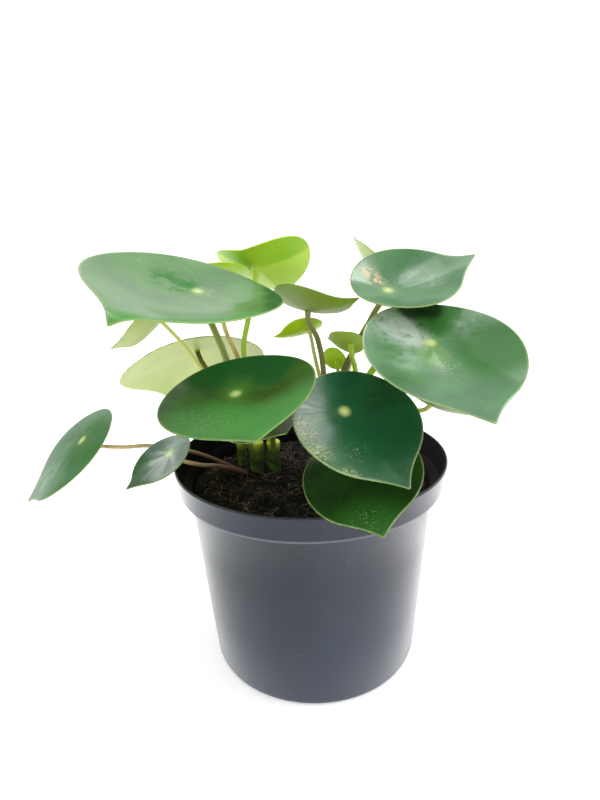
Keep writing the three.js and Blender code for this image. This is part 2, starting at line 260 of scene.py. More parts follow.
class Finish:
    """A material. Its node method adds any node: settings first, then the sockets' inputs."""

    def __init__(self, name):
        self.material = bpy.data.materials.new(name)
        self.material.use_nodes = True
        self.tree = self.material.node_tree
        self.tree.nodes.clear()

    def node(self, kind, settings=None, inputs=None, output=0):
        made = self.tree.nodes.new(kind)
        for name, value in (settings or {}).items():
            setattr(made, name, value)
        for name, value in (inputs or {}).items():
            if isinstance(value, Value):
                self.tree.links.new(value.socket, made.inputs[name])
            else:
                made.inputs[name].default_value = value
        return Value(self, made.outputs[output] if made.outputs else None)

    def object_place(self):
        return self.node("ShaderNodeTexCoord", output="Object")

    def attribute(self, name):
        return self.node("ShaderNodeAttribute", {"attribute_name": name}, output="Fac")

    def noise(self, scale, detail=2, roughness=0.5, place=None):
        """Noise of 0 to 1 with so many cells in a metre, or in a unit of the given place."""
        inputs = {"Scale": scale, "Detail": detail, "Roughness": roughness}
        inputs["Vector"] = place or self.object_place()
        return self.node("ShaderNodeTexNoise", {}, inputs)

    def part(self, vector, axis):
        return self.node("ShaderNodeSeparateXYZ", {}, {0: vector}, output=axis)

    def blend(self, factor, first, second):
        """The first colour where factor is 0 and the second where it is 1."""
        inputs = {0: factor, 6: colour_input(first), 7: colour_input(second)}
        return self.node("ShaderNodeMix", {"data_type": "RGBA"}, inputs, output=2)

    def bump(self, height, distance, strength, normal=None):
        """A height of 0 to 1 raised by distance in metres."""
        inputs = {"Height": height, "Distance": distance, "Strength": strength}
        if normal:
            inputs["Normal"] = normal
        return self.node("ShaderNodeBump", {}, inputs)

    def stretched(self, scale):
        """The place on the piece with its axes scaled, for a pattern that is longer one way."""
        inputs = {"Vector": self.object_place(), "Scale": scale}
        return self.node("ShaderNodeMapping", {}, inputs)

    def glowing(self, share, body, colour):
        """The body with a share of light that comes through the tissue in this colour."""
        glow = self.node("ShaderNodeBsdfTranslucent", {}, {"Color": colour_input(colour)})
        return self.mixed(share, body, glow)

    def mixed(self, factor, first, second):
        """The first shader where factor is 0 and the second where it is 1."""
        return self.node("ShaderNodeMixShader", {}, {0: factor, 1: first, 2: second})

    def end(self, shader):
        self.node("ShaderNodeOutputMaterial", {}, {"Surface": shader})
        return self.material

    def principled(self, **inputs):
        sockets = {}
        for name, value in inputs.items():
            sockets[name.replace("_", " ").title().replace("Ior", "IOR")] = value
        return self.node("ShaderNodeBsdfPrincipled", {}, sockets)


def colour_input(colour):
    """What a colour socket takes: another socket, or the linear colour of an sRGB hex text."""
    if isinstance(colour, Value):
        return colour
    channels = [int(colour[i:i + 2], 16) / 255 for i in (0, 2, 4)]
    return (*(c / 12.92 if c <= 0.04045 else ((c + 0.055) / 1.055) ** 2.4 for c in channels), 1)


# ---- Finishes ----

NERVES = 7
BLADE_MAP = "blade"  # the UV map of a blade: centimetres from the spot, along and across
SHARE = "share"  # 0 at the spot and 1 at the margin
ALONG = "along"  # 0 at a stalk's foot and 1 at its end

LEAF_TONES = {  # deep, light and veined colours of the upper side, then the underside's two
    "mature": ("173f10", "356f24", "6f984a", "a8b868", "7e9850"),
    "night": ("124024", "24623a", "74a061", "a8b868", "7e9850"),
    "sage": ("28622e", "3f7e3e", "8cb46c", "a8b868", "7e9850"),
    "grey": ("3a7030", "548a3e", "9cbc74", "a8b868", "7e9850"),
    "shaded": ("0e2d0c", "1e4c14", "5c8438", "a8b868", "7e9850"),
    "olive": ("2c5a1c", "4d7f2a", "7aa044", "86a234", "6a8a28"),
    "leafy": ("3d6a24", "5c8f34", "8ab04c", "b4cc58", "9cc044"),
    "young": ("7fb014", "a8d428", "c4e05a", "d0f030", "b0e01c"),
    "crown": ("7fb014", "a8d428", "c4e05a", "d2f250", "98cc0c"),
    "pale": ("2f6e30", "508c40", "94b868", "dcea96", "c6da80"),
}
TONE_OF_LEAF = {
    "leaf_upper_left": "grey", "leaf_far_left": "sage", "leaf_right": "sage",
    "leaf_upper_right": "sage", "leaf_front": "night", "leaf_low_left": "night",
    "leaf_over_rim": "shaded", "leaf_under_front": "shaded", "leaf_behind": "young",
    "leaf_centre": "olive", "leaf_small_right": "leafy", "leaf_under_right": "olive",
    "leaf_crown": "crown", "leaf_bud": "young", "leaf_small_centre": "young",
    "leaf_back_left": "pale", "leaf_small_left": "pale", "leaf_back_right": "pale",
}
# The gloss of an upper side: its specular level and its coat of wax.
USUAL_GLOSS = (0.5, 0.5)
LEAF_GLOSS = {
    "leaf_front_left": (0.34, 0.05), "leaf_over_rim": (0.4, 0.1), "leaf_far_left": (0.2, 0),
    "leaf_front": (0.32, 0.1), "leaf_low_left": (0.4, 0.15),
    "leaf_under_front": (0.15, 0), "leaf_back_left": (0.3, 0),
}

# A mark's colour, its grains in a metre, the noise at which they begin and are whole, and its
# strength. One without grains follows the blade's rays, and the dull ones take the gloss away.
# Some are the leaf's own marks; the others are painted light and shade, as noted below.
MARK_KINDS = {
    "bare": ("387a34", 170, 0.4, 0.62, 0.75),
    "speck": ("d6e2c4", 1500, 0.56, 0.7, 0.5),
    "gilt": ("c8cc8c", 1200, 0.42, 0.62, 0.65),
    "rust": ("e6c07c", 520, 0.36, 0.62, 0.8),
    # painted sheen: a pale reflection painted into the colour
    "painted_sheen": ("b4c8b8", 130, 0.32, 0.72, 0.5),
    # painted glare: a whitish reflection painted by the spot
    "painted_glare": ("d0e0d4", 300, 0.2, 0.6, 0.75),
    # painted sheen in streaks along the rays
    "painted_sheen_streak": ("c4d4c6", None, 0.36, 0.74, 0.5),
    # painted shade: a deep unglossed green, where a shadow falls or no reflection shows
    "deep": ("1c5426", 60, 0, 0.4, 0.85),
    # painted light: a lighter unglossed green on lit parts and where no sheen shows
    "painted_unglossed_green": ("4f9246", 60, 0, 0.4, 0.8),
    # painted shade and light: an unglossed green, where a shadow falls or a reflection is taken
    # away
    "moss": ("2c6420", 60, 0, 0.4, 0.7),
    # painted shade over a leaf's dark part
    "painted_shade_green": ("1a5230", 60, 0, 0.4, 0.85),
    "shade": ("0e2c12", 60, 0, 0.4, 0.9),
    # painted: an unglossed mid-green over a glint, in place of its light
    "painted_glint_cover": ("7ca45c", 60, 0, 0.4, 0.5),
}
# All of these dull ones but bare are painted light and shade.
DULL_MARKS = ("bare", "deep", "painted_unglossed_green", "moss", "painted_shade_green", "shade", "painted_glint_cover")
CORE_SHARE = 0.45  # of a dull mark's radius, where it is whole

# The marks on each leaf: kind, place along and across from the spot, and radius, in centimetres.
# Many of them are painted light and shade rather than marks of the leaf.
LEAF_MARKS = {
    # painted: a green band without sheen along one edge and towards the tip; the specks are its own
    "leaf_upper_left": [
        ("bare", 0, -1, 1.3), ("bare", -0.4, -0.3, 0.6), ("speck", 6.1, 0.8, 1.2),
        ("speck", -0.2, -2.5, 0.7), ("speck", 3.4, 1.6, 1.2), ("speck", -0.2, 0.5, 0.9),
        ("painted_unglossed_green", 5.4, 0.7, 1.2), ("painted_unglossed_green", 4.4, 1.6, 1), ("painted_unglossed_green", 3.5, 2.6, 1.2),
        ("painted_unglossed_green", 2.4, 3.3, 1.3), ("deep", 1.2, 3.8, 1.1), ("deep", 0.3, 3.5, 1.1),
        ("deep", -0.7, 3, 1), ("deep", -1.6, 2.6, 0.9)],
    # painted: glare, sheen and streaks by the spot, the shadow of the leaf above along the top, and
    # unglossed patches over reflections
    "leaf_right": [
        ("painted_sheen", -0.4, 1.8, 1.1), ("speck", 1.6, 0, 1.2), ("painted_sheen", -0.9, -1, 1.5),
        ("painted_sheen_streak", -0.9, -0.9, 1.7), ("painted_glare", -0.3, -0.6, 1), ("painted_sheen", 0.9, -1.4, 1.1),
        ("painted_glare", -1.1, -1.3, 1.6), ("painted_glare", -0.7, -0.7, 1.3), ("moss", 1.1, 2.1, 2.1),
        ("gilt", 0, -0.3, 0.5), ("speck", -0.8, -0.9, 1.2),
        ("moss", -1.1, 0.4, 1), ("shade", -1.9, -0.2, 0.8), ("shade", -1.85, 0.6, 0.8),
        ("painted_glint_cover", 0.7, -0.2, 0.8)],
    # the rust and specks are its own; the pale patches are painted sheen
    "leaf_upper_right": [
        ("rust", -0.45, 1.15, 0.6), ("rust", -0.25, 0.65, 0.5), ("painted_sheen", 1.4, 0.6, 0.8),
        ("painted_sheen", 1.8, -0.2, 0.8), ("speck", 0.1, 0.6, 0.9)],
    # painted light on the lower part and painted shade of the leaf above over the upper part; the
    # specks are its own
    "leaf_front_left": [
        ("painted_unglossed_green", 2, -1.2, 2.4), ("painted_unglossed_green", 3.2, 1, 2.4), ("speck", 1.9, -1.1, 1.6),
        ("speck", 1.2, -1.8, 1), ("deep", -1.7, 0.8, 1.4), ("deep", -1, 2.1, 1.3),
        ("deep", -0.4, 1.6, 1.1), ("deep", -1.6, -0.8, 1.3)],
    # painted shade over its dark part and a painted sheen streak; the gilt and specks are its own
    "leaf_front": [
        ("shade", -1.3, 0.7, 0.9), ("painted_shade_green", -0.9, 0.5, 1.2), ("painted_shade_green", 0.1, 0, 1.1),
        ("painted_shade_green", 1.2, -0.1, 1.3), ("painted_shade_green", 1.6, 0.9, 1.6), ("gilt", 0.1, -2, 0.9),
        ("gilt", 1.3, -2.1, 0.9), ("gilt", 2.5, -1.6, 0.6), ("painted_sheen_streak", -0.6, -1.4, 0.9),
        ("speck", 1.7, -0.7, 0.8)],
    # on these three, the unglossed patches are painted shade and light and the pale ones painted
    # sheen; the specks are their own
    "leaf_over_rim": [("moss", 2.6, -0.4, 1.6), ("speck", 2.5, -0.3, 1)],
    "leaf_low_left": [("painted_sheen", 0.2, -0.2, 0.9)],
    "leaf_far_left": [("painted_sheen", 2, 0.4, 1), ("speck", 0.6, -0.6, 1), ("moss", -0.4, 0.6, 1.9)],
}
# An underside's second colour: its direction along and across the blade, half its border's
# width in centimetres and its strength.
UNDERSIDE_SHADES = {"crown": (-0.92, -0.4, 0.15, 0.75)}
USUAL_SHADE = (0, 1, 0.6, 0.4)

# Where a pattern begins and is whole, or is whole and fades out, in centimetres from the spot.
NERVE_START = (0.1, 0.4)
NERVE_FADE = (0.6, 2.2)
SPOT_FADE = (0.04, 0.32)
RING_FADE = (0.05, 0.7)  # the veined colour round the spot
MARGIN_LINE = (0.975, 0.998)  # as shares of the way to the margin
NERVE_BEND = 0.22  # radians that a nerve bends in a centimetre
NERVE_WIDTH = 0.25
RAYS_ROUND = 9  # units of the rays' noise in a radian
RAYS_OUT = 0.7  # and in a centimetre outwards

SPOT_COLOUR = "c6d684"
FLECK_COLOUR = "c7d6b6"
LINE_COLOUR = "a4b870"
PALE_LEAF_LINE = "66703c"


def blade_polar(finish):
    """The place on the blade, its distance from the spot in centimetres and its angle."""
    place = finish.node("ShaderNodeUVMap", {"uv_map": BLADE_MAP})
    along = finish.part(place, 0)
    across = finish.part(place, 1)
    distance = (along * along + across * across) ** 0.5
    return place, distance, across.math("ARCTAN2", across, along)


def nerves(distance, angle):
    """1 on the blade's nerves, which leave the spot like rays and bend to the tip."""
    bent = angle + distance * angle.sine() * NERVE_BEND
    off_nerve = abs((bent * (NERVES / 2)).sine()).ramp(0, NERVE_WIDTH)
    return (1 - off_nerve) * distance.ramp(*NERVE_START) * (1 - distance.ramp(*NERVE_FADE))


def mark_mask(finish, place, rays, kind, along, across, radius):
    """How strongly a mark of this kind shows round its centre."""
    _, grain, low, high, strength = MARK_KINDS[kind]
    centre = {0: place, 1: (along, across, 0)}
    away = finish.node("ShaderNodeVectorMath", {"operation": "DISTANCE"}, centre, output="Value")
    grains = finish.noise(grain, detail=3, roughness=0.65) if grain else rays
    core = radius * CORE_SHARE if kind in DULL_MARKS else 0
    return (1 - away.ramp(core, radius)) * grains.ramp(low, high) * strength


def marked(finish, leaf_name, place, rays, colour):
    """The colour with the leaf's marks, and how much of the gloss they leave."""
    glossy = 1
    for kind, *where in LEAF_MARKS.get(leaf_name, []):
        mask = mark_mask(finish, place, rays, kind, *where)
        colour = finish.blend(mask, colour, MARK_KINDS[kind][0])
        if kind in DULL_MARKS:
            glossy = (1 - mask) * glossy
    return colour, glossy


def leaf_top(leaf_name, tone):
    deep, light, vein, *_ = LEAF_TONES[tone]
    gloss, wax = LEAF_GLOSS.get(leaf_name, USUAL_GLOSS)
    finish = Finish(leaf_name.replace("leaf", "top"))
    place, distance, angle = blade_polar(finish)
    polar = {0: angle * RAYS_ROUND, 1: distance * RAYS_OUT}
    rays = finish.noise(
        1, detail=3, roughness=0.6, place=finish.node("ShaderNodeCombineXYZ", {}, polar))
    clouds = finish.noise(60, detail=3, roughness=0.55)
    flecks = finish.noise(1500, detail=1, roughness=0.4).ramp(0.7, 0.76)
    flecks *= finish.noise(90, detail=1).ramp(0.5, 0.66)
    colour = finish.blend(clouds.ramp(0.3, 0.72) * 0.8 + rays.ramp(0.35, 0.7) * 0.15, deep, light)
    colour = finish.blend(nerves(distance, angle) * 0.14, colour, vein)
    colour = finish.blend((1 - distance.ramp(*RING_FADE)) * 0.4, colour, vein)
    colour = finish.blend(flecks * 0.3, colour, FLECK_COLOUR)
    colour, glossy = marked(finish, leaf_name, place, rays, colour)
    colour = finish.blend((1 - distance.ramp(*SPOT_FADE)) * 0.95, colour, SPOT_COLOUR)
    line = finish.attribute(SHARE).ramp(*MARGIN_LINE)
    colour = finish.blend(line * 0.5, colour, LINE_COLOUR)
    swells = finish.bump(finish.noise(48, detail=1), 0.0005, strength=0.7)
    ripples = finish.bump(finish.noise(260), 0.00006, strength=0.6, normal=swells)
    skin = finish.bump(rays, 0.00008, strength=0.4, normal=ripples)
    waxy = finish.principled(
        base_color=colour, roughness=0.24 + clouds * 0.1, normal=skin, specular_ior_level=gloss,
        coat_weight=wax, coat_roughness=0.1)
    dull = finish.principled(
        base_color=colour, roughness=0.45, normal=skin, specular_ior_level=0.04)
    body = finish.mixed(glossy, dull, waxy)
    return finish.end(finish.glowing(0.08, body, finish.blend(0.6, light, vein)))


def leaf_underside(name, tone):
    *_, pale, green = LEAF_TONES[tone]
    finish = Finish(name)
    place, distance, angle = blade_polar(finish)
    clouds = finish.noise(45, detail=3)
    along_share, across_share, softness, strength = UNDERSIDE_SHADES.get(tone, USUAL_SHADE)
    side = finish.part(place, 0) * along_share + finish.part(place, 1) * across_share
    shade = side.ramp(-softness, softness) * strength
    colour = finish.blend(clouds.ramp(0.3, 0.7) * (1 - strength) + shade, pale, green)
    colour = finish.blend(nerves(distance, angle) * 0.15, colour, green)
    pores = {"Scale": 1300, "Vector": finish.object_place()}
    skin = finish.bump(finish.node("ShaderNodeTexVoronoi", {}, pores), 0.00004, strength=0.3)
    body = finish.principled(base_color=colour, roughness=0.42, normal=skin)
    return finish.end(finish.glowing(0.12, body, colour))


def leaf_margin(name, tone):
    _, _, vein, pale, _ = LEAF_TONES[tone]
    finish = Finish(name)
    line = PALE_LEAF_LINE if tone == "pale" else vein
    colour = finish.blend(finish.noise(300).ramp(0.4, 0.65), line, pale)
    body = finish.principled(base_color=colour, roughness=0.35)
    return finish.end(finish.glowing(0.3, body, pale))


STALK_COLOURS = {
    "olive": "93a04c", "moss": "4c5a24", "lime": "b4d63c", "straw": "dde084", "blush": "d0a468",
    "rust": "a8763e", "bronze": "6e6a2c", "fern": "94964c", "cocoa": "6a4834", "tan": "e6cc98",
    # the last is painted light: the lime of the trunks' lit tops
    "painted_lit_lime": "d6ea44",
}
STALK_SHADE = "3f4a1c"
TRUNK_DARK = "34481a"
TRUNK_LIGHT = "5a7626"
# Where a stalk's next colour begins and is whole, as shares of its length.
HEAD_RISE = (0.1, 0.8)
TIP_RISE = (0.84, 0.93)
CROWN_RISE = (0.7, 0.88)


def stalk_finish(name, ends):
    foot, head, tip = (STALK_COLOURS[end] for end in (*ends, ends[-1])[:3])
    finish = Finish(name)
    along = finish.attribute(ALONG)
    streaks = finish.noise(40, place=finish.stretched((12, 12, 1)))
    colour = finish.blend(along.ramp(*HEAD_RISE), foot, head)
    colour = finish.blend(along.ramp(*TIP_RISE), colour, tip)
    darker = finish.blend(0.35, foot, STALK_SHADE)
    colour = finish.blend(streaks.ramp(0.5, 0.75) * 0.45, colour, darker)
    body = finish.principled(
        base_color=colour, roughness=0.3 + streaks * 0.2,
        normal=finish.bump(streaks, 0.0001, strength=0.4))
    return finish.end(finish.glowing(0.2, body, colour))


def trunk_finish(name, top):
    finish = Finish(name)
    blotches = finish.noise(220, detail=4, roughness=0.6)
    colour = finish.blend(blotches.ramp(0.4, 0.7), TRUNK_DARK, TRUNK_LIGHT)
    # painted light: the trunk's top blends to its top colour, on most trunks a lime as if lit from
    # above
    crown = finish.attribute(ALONG).ramp(*CROWN_RISE)
    colour = finish.blend(crown * 0.95, colour, STALK_COLOURS[top])
    body = finish.principled(
        base_color=colour, roughness=0.4 + blotches * 0.2,
        normal=finish.bump(blotches, 0.0004, strength=0.5))
    return finish.end(body)


POT_LIT_SIDE = "433e46"  # painted light: the tint that lightens the pot's right side, as if lit
POT_COOL = "364258"  # the tint of the pot's foot
# the colour of the painted highlight line under the collar
POT_HIGHLIGHT_LINE = "a4aab4"
POT_DUST = "b0b0aa"
LIT_SIDE_RISE = (0, 0.045)  # metres to the right, where the painted light of the right side begins and is whole
COOL_FADE = (0, 0.07)  # metres up, where the cool tint is whole and gone
HIGHLIGHT_LINE_PLACE = COLLAR_FOOT * MM + 0.0007  # the height of the painted highlight line under the collar
HIGHLIGHT_LINE_FADE = (0.0002, 0.0007)  # metres above or below it, where it is whole and gone


def pot_finish(name, dark, light, gloss, dust_and_highlight):
    """Satin plastic with a hazy tone, its right side painted lighter as if lit, and a painted
    highlight line under the collar and dust, both as strong as the last argument.
    """
    finish = Finish(name)
    place = finish.object_place()
    side = finish.part(place, 0)
    height = finish.part(place, 2)
    tall = finish.stretched((1, 1, 0.25))
    haze = finish.noise(28, detail=3, place=tall)
    scuffs = finish.noise(900, place=tall)
    dust = finish.noise(1100, detail=1).ramp(0.795, 0.82)
    highlight_line = 1 - abs(height - HIGHLIGHT_LINE_PLACE).ramp(*HIGHLIGHT_LINE_FADE)
    colour = finish.blend(haze.ramp(0.3, 0.75), dark, light)
    # painted light: the right side is tinted lighter
    colour = finish.blend(side.ramp(*LIT_SIDE_RISE) * 0.6, colour, finish.blend(0.5, light, POT_LIT_SIDE))
    colour = finish.blend((1 - height.ramp(*COOL_FADE)) * 0.4, colour, POT_COOL)
    # painted highlight: a pale line where the collar's lower edge rounds
    colour = finish.blend(highlight_line * dust_and_highlight, colour, POT_HIGHLIGHT_LINE)
    colour = finish.blend(dust * dust_and_highlight * 2, colour, POT_DUST)
    turned = finish.node("ShaderNodeLayerWeight", {}, {"Blend": 0.5}, output="Facing")
    return finish.end(finish.principled(
        base_color=colour, roughness=0.7 - gloss + haze * 0.08 + scuffs * 0.06,
        normal=finish.bump(scuffs, 0.00003, strength=0.4), specular_ior_level=gloss,
        coat_weight=turned.ramp(0.25, 0.85) * gloss * 2, coat_roughness=0.25))


def soil_finish(name, dark, light):
    finish = Finish(name)
    grain = finish.noise(900, detail=4, roughness=0.7)
    lumps = finish.noise(160, detail=3, roughness=0.6)
    colour = finish.blend((grain * lumps * 2).ramp(0.35, 0.8), dark, light)
    return finish.end(finish.principled(
        base_color=colour, roughness=0.88, specular_ior_level=0.2,
        normal=finish.bump(grain, 0.0006, strength=0.8)))


def floor_finish():
    finish = Finish("white_floor")
    colour = finish.blend(finish.noise(3), "f7f7f7", "fafafa")
    return finish.end(finish.principled(
        base_color=colour, roughness=0.9, emission_color=(1, 1, 1, 1), emission_strength=0.35))


# ---- Modelling tools ----


def deselect():
    bpy.ops.object.select_all(action="DESELECT")


def pick(*pieces):
    """Selects only these pieces, with the last one active."""
    deselect()
    for piece in pieces:
        piece.select_set(True)
    bpy.context.view_layer.objects.active = pieces[-1]


def modify(piece, kind, **settings):
    """Adds a modifier and applies it."""
    pick(piece)
    modifier = piece.modifiers.new(kind.lower(), kind)
    for name, value in settings.items():
        setattr(modifier, name, value)
    bpy.ops.object.modifier_apply(modifier=modifier.name)


def named(piece, name, *materials):
    piece.name = piece.data.name = name
    piece.data.materials.clear()
    for material in materials:
        piece.data.materials.append(material)


def select_rim():
    """In edit mode, selects the open edges of the active piece."""
    mesh = bmesh.from_edit_mesh(bpy.context.object.data)
    for edge in mesh.edges:
        edge.select = edge.is_boundary
    mesh.select_flush_mode()


def grown_disc(rings, sides):
    """A small disc whose rim is extruded through (radius, height) pairs about the Z axis."""
    radius, height = rings[0]
    deselect()
    bpy.ops.mesh.primitive_circle_add(
        vertices=sides, radius=radius, location=(0, 0, height), fill_type="TRIFAN")
    piece = bpy.context.object
    bpy.ops.object.transform_apply()
    bpy.ops.object.mode_set(mode="EDIT")
    bpy.ops.mesh.select_mode(type="EDGE")
    select_rim()
    for next_radius, next_height in rings[1:]:
        rise = (0, 0, next_height - height)
        bpy.ops.mesh.extrude_edges_move(TRANSFORM_OT_translate={"value": rise})
        size = next_radius / radius
        bpy.ops.transform.resize(value=(size, size, 1), center_override=(0, 0, next_height))
        radius, height = next_radius, next_height
    bpy.ops.object.mode_set(mode="OBJECT")
    return piece


def close_top(piece):
    """Closes the last ring of a grown disc and turns every face outwards."""
    pick(piece)
    bpy.ops.object.mode_set(mode="EDIT")
    select_rim()
    bpy.ops.mesh.edge_face_add()
    bpy.ops.mesh.poke()
    bpy.ops.mesh.select_all(action="SELECT")
    bpy.ops.mesh.normals_make_consistent(inside=False)
    bpy.ops.object.mode_set(mode="OBJECT")
    return piece


def copied(piece, name):
    """A copy with its own mesh."""
    twin = piece.copy()
    twin.data = piece.data.copy()
    twin.name = name
    bpy.context.scene.collection.objects.link(twin)
    return twin


def joined(pieces, name):
    pick(*pieces)
    bpy.ops.object.join()
    piece = bpy.context.object
    piece.name = piece.data.name = name
    return piece


def placed(piece, slot, *nodes):
    """Rides the finished piece on the plant and hides the frame's parts that it stands for; the
    slot is not used.
    """
    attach(piece, "root")
    if nodes:
        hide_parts(*nodes)


# ---- Pot ----

POT_SIDES = 144
DRAIN_SIDES = 32
CENTRE_RADIUS = 4  # of the disc the pot grows from
HOOPS = (30, 60)  # heights of two rings of the body
POT_SHARP_EDGE = math.radians(40)
# Soft edges, as steps outwards and up from a corner of the profile.
BASE_STEPS = (
    (-BASE_ROUND - 1.2, 0), (-BASE_ROUND, 0), (-BASE_ROUND * 0.45, BASE_ROUND * 0.12),
    (-BASE_ROUND * 0.15, BASE_ROUND * 0.3))
NECK_STEPS = ((-0.05, -0.5), (0.35, 0))
COLLAR_STEPS = ((-0.5, 0), (0.1, 0.25), (0.3, 0.6), (0.25, 0.9))
COLLAR_SLOPE = 1.3  # up from the collar's foot, where its plain slope begins
RIM_STEPS = (
    (-0.12, -1.1), (0, -0.6), (-0.25, -0.12), (-0.7, 0), (-1.15, -0.12), (-POT_WALL, -0.7))
LEDGE_CORNER_STEPS = ((0, 0.6), (-1, 0))
LEDGE_EDGE_STEPS = ((0.4, 0), (0, -0.6))
LEDGE_RISE = 1.4  # of the inner ledge over the collar's foot
FLOOR_ROUND = 5  # the height up to which the inside is rounded


def body_radius(height):
    return BASE_RADIUS + (BODY_TOP_RADIUS - BASE_RADIUS) * height / COLLAR_FOOT


def outer_radius(height):
    if height < COLLAR_FOOT:
        return body_radius(height)
    rise = (height - COLLAR_FOOT) / (POT_HEIGHT - COLLAR_FOOT)
    return COLLAR_FOOT_RADIUS + (RIM_RADIUS - COLLAR_FOOT_RADIUS) * rise


def steps_from(radius, height, steps):
    return [(radius + outward, height + up) for outward, up in steps]


def pot_rings():
    """The pot's profile as (radius, height) pairs, up its outside and down its inside."""
    ledge = COLLAR_FOOT + LEDGE_RISE
    slope = COLLAR_FOOT + COLLAR_SLOPE
    return [
        (CENTRE_RADIUS, 0),
        *steps_from(BASE_RADIUS, 0, BASE_STEPS),
        *[(body_radius(height), height) for height in (BASE_ROUND, *HOOPS)],
        *steps_from(BODY_TOP_RADIUS, COLLAR_FOOT, NECK_STEPS),
        *steps_from(COLLAR_FOOT_RADIUS, COLLAR_FOOT, COLLAR_STEPS),
        (outer_radius(slope), slope),
        *steps_from(RIM_RADIUS, POT_HEIGHT, RIM_STEPS),
        *steps_from(COLLAR_FOOT_RADIUS - POT_WALL, ledge, LEDGE_CORNER_STEPS),
        *steps_from(BODY_TOP_RADIUS - POT_WALL, ledge, LEDGE_EDGE_STEPS),
        (body_radius(FLOOR_ROUND) - POT_WALL, FLOOR_ROUND),
        (BASE_RADIUS - BASE_ROUND - POT_WALL, POT_FLOOR),
        (CENTRE_RADIUS, POT_FLOOR),
    ]


def drill_drains(pot):
    for hole in range(DRAIN_HOLES):
        angle = math.tau * (hole + 0.5) / DRAIN_HOLES
        deselect()
        bpy.ops.mesh.primitive_cylinder_add(
            vertices=DRAIN_SIDES, radius=DRAIN_RADIUS * MM, depth=4 * POT_FLOOR * MM,
            location=(DRAIN_CIRCLE * MM * math.cos(angle), DRAIN_CIRCLE * MM * math.sin(angle), 0))
        drill = bpy.context.object
        modify(pot, "BOOLEAN", operation="DIFFERENCE", solver="EXACT", object=drill)
        bpy.data.objects.remove(drill)


def add_pot():
    rings = [(radius * MM, height * MM) for radius, height in pot_rings()]
    pot = close_top(grown_disc(rings, POT_SIDES))
    drill_drains(pot)
    pick(pot)
    bpy.ops.object.shade_smooth_by_angle(angle=POT_SHARP_EDGE)
    outer = pot_finish("pot_plastic", "161d28", "232c3a", gloss=0.42, dust_and_highlight=0.25)
    # painted shade: the inside is the same plastic painted near black, for the shade in the pot's
    # hollow
    shaded_inner = pot_finish("pot_inside_shade", "030304", "060607", gloss=0.05, dust_and_highlight=0)
    named(pot, "nursery_pot", outer, shaded_inner)
    for face in pot.data.polygons:
        height = face.center.z / MM
        inside = face.center.xy.length / MM < outer_radius(height) - POT_WALL / 2
        face.material_index = int(inside and height > POT_FLOOR / 2)
    placed(pot, "pot_plastic", "pot")


# ---- Soil ----

SOIL_RADIUS = BODY_TOP_RADIUS - POT_WALL - SOIL_GAP
SOIL_SIDES = 120
SOIL_RINGS = 34  # on its surface
ROUGHNESS = 2.3
CLOD_SHARE = 0.8  # of the roughness
CLOD_PITCH = 0.16  # units of the noise in a millimetre
CLOD_SLICE = 3.1  # where the noise is cut
CLOD_FRACTAL = (1, 2, 4)  # the noise's smoothness, lacunarity and octaves
GRIT_SHARE = 0.35
GRIT_PITCH = 0.7
GRIT_SLICE = 7.7
SOIL_GAPS = (0.3, 0.6)  # to the wall, at its foot and at FLOOR_ROUND
CRUMB_REACH = SOIL_RADIUS - 1
CRUMB_FLATNESS = 0.7
CRUMB_WIDTHS = (0.6, 1)  # as shares of the length
CRUMB_DENTS = (0.7, 1.15)
FIBRE_REACH = SOIL_RADIUS - 1.5
FIBRE_SHAPES = 8
FIBRE_LENGTHS = (2, 8)
FIBRE_RADII = (0.12, 0.26)
FIBRE_TAPER = (1, 1, 1, 0.8, 0.4)
FIBRE_BEND = 0.18  # as a share of the length
FIBRE_FLOAT = 0.3  # of its foot over the soil
FIBRE_LIFTS = (-0.3, 1.2)  # of its end


def soil_height(x, y):
    """The frame's soil surface, in millimetres."""
    lumps = math.sin(LUMP_WAVES[0] * x + LUMP_SHIFT) * math.cos(LUMP_WAVES[1] * y)
    crumbs = math.sin(CRUMB_WAVES[0] * x - CRUMB_WAVES[1] * y)
    return SOIL_TOP - SOIL_SLOPE * (x + y) + LUMP_HEIGHT * lumps + CRUMB_HEIGHT * crumbs


def rough_height(x, y):
    """The frame's surface with fine clods and grit on it, in millimetres."""
    clods = noise.fractal(Vector((x, y, CLOD_SLICE)) * CLOD_PITCH, *CLOD_FRACTAL)
    grit = noise.noise(Vector((x, y, GRIT_SLICE)) * GRIT_PITCH)
    return soil_height(x, y) + ROUGHNESS * (CLOD_SHARE * clods + GRIT_SHARE * grit)


def add_soil():
    rings = [
        (CENTRE_RADIUS / 2, SOIL_FOOT),
        (BASE_RADIUS - BASE_ROUND - POT_WALL - SOIL_GAPS[0], SOIL_FOOT),
        (body_radius(FLOOR_ROUND) - POT_WALL - SOIL_GAPS[1], FLOOR_ROUND)]
    for step in range(SOIL_RINGS, 0, -1):
        rings.append((SOIL_RADIUS * step / SOIL_RINGS, SOIL_TOP))
    soil = close_top(grown_disc([(r * MM, h * MM) for r, h in rings], SOIL_SIDES))
    for vertex in soil.data.vertices:
        x, y, z = vertex.co / MM
        if z > SOIL_TOP / 2:
            vertex.co.z = rough_height(x, y) * MM
    pick(soil)
    bpy.ops.object.shade_smooth()
    named(soil, "peat_soil", soil_finish("peat", "060404", "1c140e"))
    placed(soil, "potting_soil", "soil")


def on_soil(rng):
    """A random place on the soil's surface, in millimetres."""
    turn = rng.uniform(0, math.tau)
    radius = CRUMB_REACH * math.sqrt(rng.random())
    x, y = radius * math.cos(turn), radius * math.sin(turn)
    return Vector((x, y, rough_height(x, y)))


